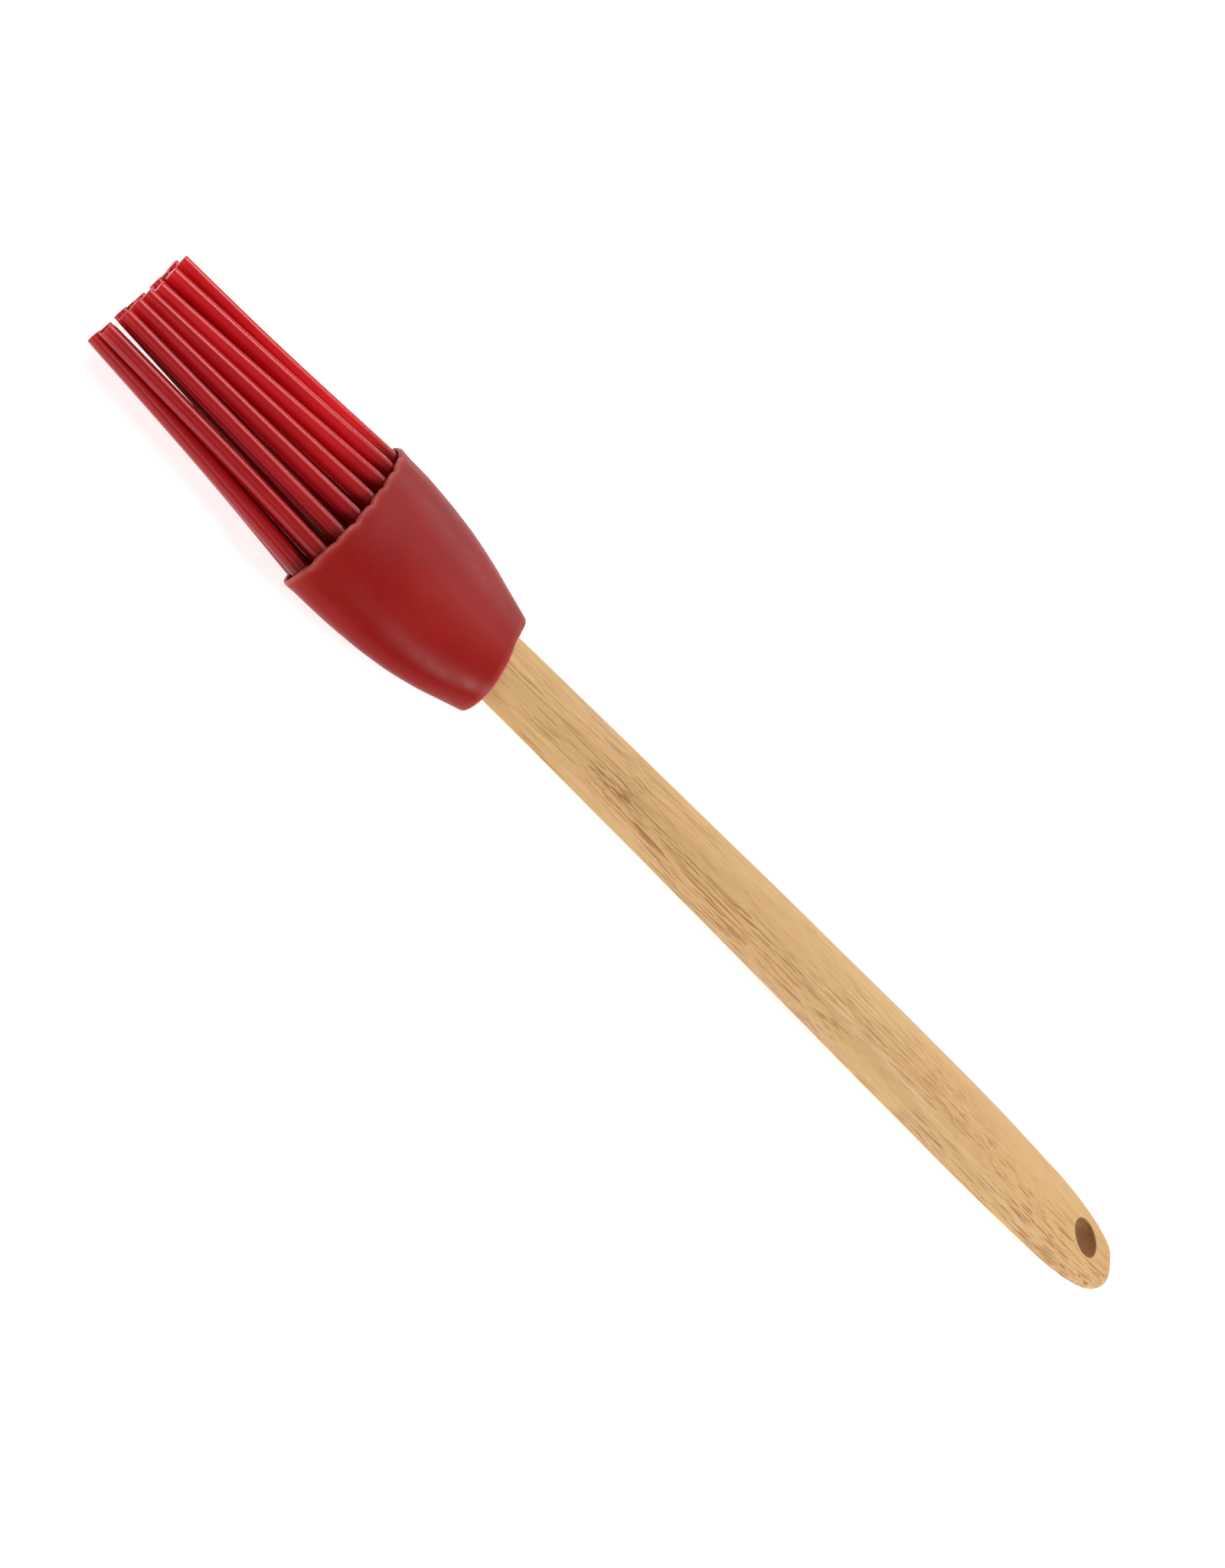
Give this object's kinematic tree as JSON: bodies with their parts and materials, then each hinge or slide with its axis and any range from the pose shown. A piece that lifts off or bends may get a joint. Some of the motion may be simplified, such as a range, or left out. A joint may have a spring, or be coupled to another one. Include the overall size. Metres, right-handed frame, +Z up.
{
  "type": "pastry brush",
  "caption": "Pastry brush: flat-oval wooden handle with a hanging hole and a pull-off tapered silicone head holding an oval tuft of tapered silicone bristles.",
  "frame": {"origin": "bottom centre of the whole brush's box as it lies flat: midway along its length and width, at the height of the surface it lies on", "axes": "+X along the handle towards the bristle tips, +Y across the wide faces, +Z up through the wide faces"},
  "size_m": [0.27, 0.0378, 0.0159],
  "materials": {
    "handle_wood": "smooth, lightly oiled, satin",
    "sleeve_silicone": "matt dark red silicone",
    "bristle_silicone": "glossy red silicone"
  },
  "bodies": {
    "handle": {"handle": "handle_wood"},
    "head": {"head_sleeve": "sleeve_silicone", "bristle_block": "bristle_silicone"},
    "bristles_upper": {"bristle_upper_1": "bristle_silicone", "bristle_upper_2": "bristle_silicone", "bristle_upper_3": "bristle_silicone", "bristle_upper_4": "bristle_silicone", "bristle_upper_5": "bristle_silicone"},
    "bristles_upper_side": {"bristle_upper_side_1": "bristle_silicone", "bristle_upper_side_2": "bristle_silicone"},
    "bristles_middle": {"bristle_middle_1": "bristle_silicone", "bristle_middle_2": "bristle_silicone", "bristle_middle_3": "bristle_silicone", "bristle_middle_4": "bristle_silicone", "bristle_middle_5": "bristle_silicone", "bristle_middle_6": "bristle_silicone", "bristle_middle_7": "bristle_silicone", "bristle_middle_8": "bristle_silicone", "bristle_middle_9": "bristle_silicone"},
    "bristles_lower_side": {"bristle_lower_side_1": "bristle_silicone", "bristle_lower_side_2": "bristle_silicone"},
    "bristles_lower": {"bristle_lower_1": "bristle_silicone", "bristle_lower_2": "bristle_silicone", "bristle_lower_3": "bristle_silicone", "bristle_lower_4": "bristle_silicone", "bristle_lower_5": "bristle_silicone"}
  },
  "joints": [
    {"name": "head_pull_off", "type": "slide", "parent": "handle", "child": "head", "axis": [1, 0, 0], "range_m": [0, 0.03]},
    {"name": "upper_row_bend", "type": "hinge", "parent": "head", "child": "bristles_upper", "pos_m": [0.0922, 0, 0.01295], "axis": [0, -1, 0], "range_deg": [-35, 35], "stiffness_Nm_per_rad": 0.015},
    {"name": "upper_side_row_bend", "type": "hinge", "parent": "head", "child": "bristles_upper_side", "pos_m": [0.0922, 0, 0.011], "axis": [0, -1, 0], "range_deg": [-35, 35], "stiffness_Nm_per_rad": 0.006},
    {"name": "tuft_bend", "type": "hinge", "parent": "head", "child": "bristles_middle", "pos_m": [0.0922, 0, 0.00795], "axis": [0, -1, 0], "range_deg": [-35, 35], "stiffness_Nm_per_rad": 0.027},
    {"name": "lower_side_row_bend", "type": "hinge", "parent": "head", "child": "bristles_lower_side", "pos_m": [0.0922, 0, 0.0049], "axis": [0, -1, 0], "range_deg": [-35, 35], "stiffness_Nm_per_rad": 0.006},
    {"name": "lower_row_bend", "type": "hinge", "parent": "head", "child": "bristles_lower", "pos_m": [0.0922, 0, 0.00295], "axis": [0, -1, 0], "range_deg": [-35, 35], "stiffness_Nm_per_rad": 0.015}
  ],
  "couplings": [
    {"joint": "upper_row_bend", "follows": "tuft_bend", "ratio": 1},
    {"joint": "upper_side_row_bend", "follows": "tuft_bend", "ratio": 1},
    {"joint": "lower_side_row_bend", "follows": "tuft_bend", "ratio": 1},
    {"joint": "lower_row_bend", "follows": "tuft_bend", "ratio": 1}
  ]
}
